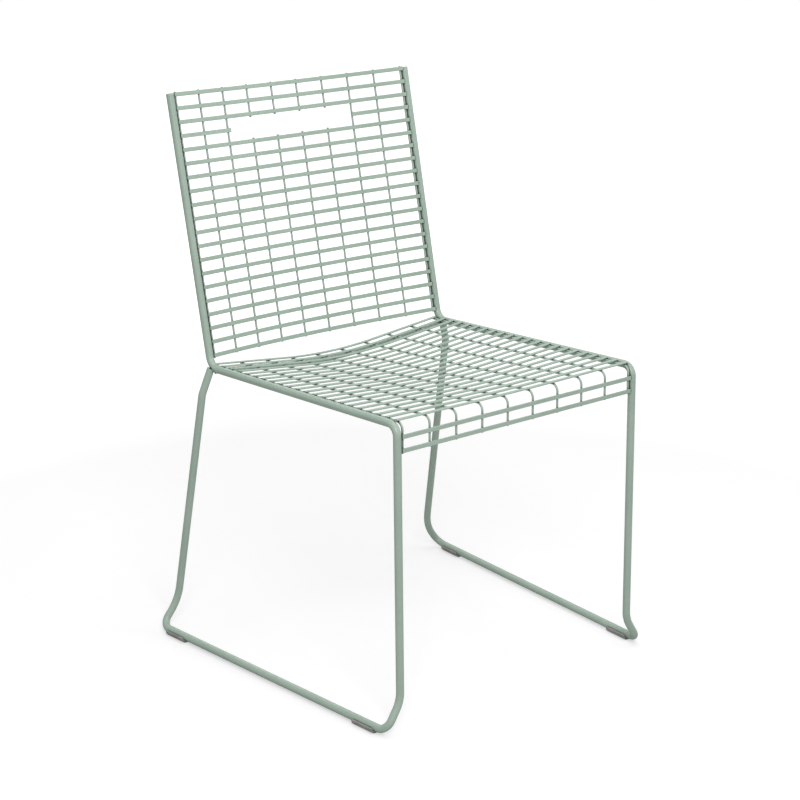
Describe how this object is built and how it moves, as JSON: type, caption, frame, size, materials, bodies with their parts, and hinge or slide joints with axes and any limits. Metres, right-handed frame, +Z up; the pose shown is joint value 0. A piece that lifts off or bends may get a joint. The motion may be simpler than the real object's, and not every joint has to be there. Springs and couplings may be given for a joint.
{
  "type": "wire mesh chair",
  "caption": "Stackable dining chair of bent round bar: two sled side frames carry a sagging welded wire mesh seat and back with a hand hold.",
  "frame": {"origin": "on the floor, at the middle of the chair's outline seen from above", "axes": "+Z up, +Y towards the rear of the chair, +X towards the sitter's left"},
  "size_m": [0.5686, 0.5452, 0.8153],
  "materials": {
    "powder_coat": "satin",
    "glide_plastic": "matte"
  },
  "bodies": {
    "root": {"back_long_wires_edge": "powder_coat", "back_long_wires_inner": "powder_coat", "back_long_wires_middle": "powder_coat", "back_long_wires_outer": "powder_coat", "back_long_wires_upper": "powder_coat", "back_wire_01": "powder_coat", "back_wire_02": "powder_coat", "back_wire_03": "powder_coat", "back_wire_04": "powder_coat", "back_wire_05": "powder_coat", "back_wire_06": "powder_coat", "back_wire_07": "powder_coat", "back_wire_08": "powder_coat", "back_wire_09": "powder_coat", "back_wire_10": "powder_coat", "back_wire_11": "powder_coat", "back_wire_12": "powder_coat", "back_wire_13": "powder_coat", "back_wire_14": "powder_coat", "back_wire_15": "powder_coat", "back_wire_16": "powder_coat", "back_wire_17": "powder_coat", "back_wire_18": "powder_coat", "back_wire_19": "powder_coat", "back_wire_20": "powder_coat", "front_apron_wires": "powder_coat", "front_left_glide": "glide_plastic", "front_right_glide": "glide_plastic", "left_side_frame": "powder_coat", "rear_cross_bar": "powder_coat", "rear_left_glide": "glide_plastic", "rear_right_glide": "glide_plastic", "right_side_frame": "powder_coat", "seat_long_wires_centre": "powder_coat", "seat_long_wires_edge": "powder_coat", "seat_long_wires_inner": "powder_coat", "seat_long_wires_middle": "powder_coat", "seat_long_wires_outer": "powder_coat", "seat_wire_01": "powder_coat", "seat_wire_02": "powder_coat", "seat_wire_03": "powder_coat", "seat_wire_04": "powder_coat", "seat_wire_05": "powder_coat", "seat_wire_06": "powder_coat", "seat_wire_07": "powder_coat", "seat_wire_08": "powder_coat", "seat_wire_09": "powder_coat", "seat_wire_10": "powder_coat", "seat_wire_11": "powder_coat", "seat_wire_12": "powder_coat", "seat_wire_13": "powder_coat", "seat_wire_14": "powder_coat", "seat_wire_15": "powder_coat", "seat_wire_16": "powder_coat", "seat_wire_17": "powder_coat", "seat_wire_18": "powder_coat", "seat_wire_19": "powder_coat", "seat_wire_20": "powder_coat", "seat_wire_21": "powder_coat", "seat_wire_22": "powder_coat"}
  },
  "joints": []
}
